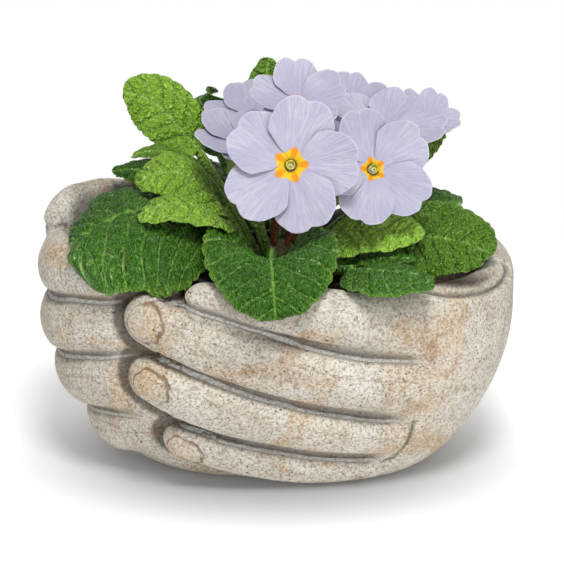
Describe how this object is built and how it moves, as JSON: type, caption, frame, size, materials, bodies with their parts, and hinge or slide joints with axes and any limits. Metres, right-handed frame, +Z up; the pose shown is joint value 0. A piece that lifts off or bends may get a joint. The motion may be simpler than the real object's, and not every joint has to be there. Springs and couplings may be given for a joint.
{
  "type": "garden planter",
  "caption": "Stone garden planter in the shape of two cupped hands with interlocked fingers, holding a primrose in a lift-out grow pot.",
  "frame": {"origin": "centre of the drain hole in the flat foot, on the ground", "axes": "+Z up, -Y towards the front where the front hand's fingers lie, +X towards the heels of the hands, fingers pointing to -X"},
  "size_m": [0.2197, 0.1785, 0.1871],
  "materials": {
    "stone": "weathered, pitted, matt",
    "pot_plastic": "satin",
    "soil": "crumbly, matt",
    "crown": "fleshy, matt",
    "leaf": "wrinkled, slightly glossy",
    "leaf_young": "wrinkled, slightly glossy",
    "petal": "soft, matt",
    "stalk": "downy, matt",
    "flower_eye": "soft, matt"
  },
  "bodies": {
    "hands": {"front_hand": "stone", "back_hand": "stone", "foot_disc": "stone"},
    "plant": {"grow_pot": "pot_plastic", "potting_soil": "soil", "crown": "crown", "leaf_left_front": "leaf", "leaf_front": "leaf", "leaf_left_upper": "leaf", "leaf_left_lower": "leaf", "leaf_left_tall": "leaf_young", "leaf_left_small": "leaf", "leaf_left_back": "leaf", "leaf_left_narrow": "leaf_young", "leaf_right_upper": "leaf_young", "leaf_right": "leaf", "leaf_right_front": "leaf", "leaf_right_small": "leaf", "leaf_back_right": "leaf_young", "leaf_back_top": "leaf_young", "leaf_young": "leaf_young", "leaf_back": "leaf", "leaf_back_left": "leaf", "leaf_back_low": "leaf", "petals_1": "petal", "petals_2": "petal", "petals_3": "petal", "petals_4": "petal", "petals_5": "petal", "petals_6": "petal", "petals_7": "petal", "petals_8": "petal", "stalk_1": "stalk", "stalk_2": "stalk", "stalk_3": "stalk", "stalk_4": "stalk", "stalk_5": "stalk", "stalk_6": "stalk", "stalk_7": "stalk", "stalk_8": "stalk", "flower_eyes": "flower_eye"}
  },
  "joints": [
    {"name": "plant_lift", "type": "slide", "parent": "hands", "child": "plant", "axis": [0, 0, 1], "range_m": [0, 0.15]}
  ]
}
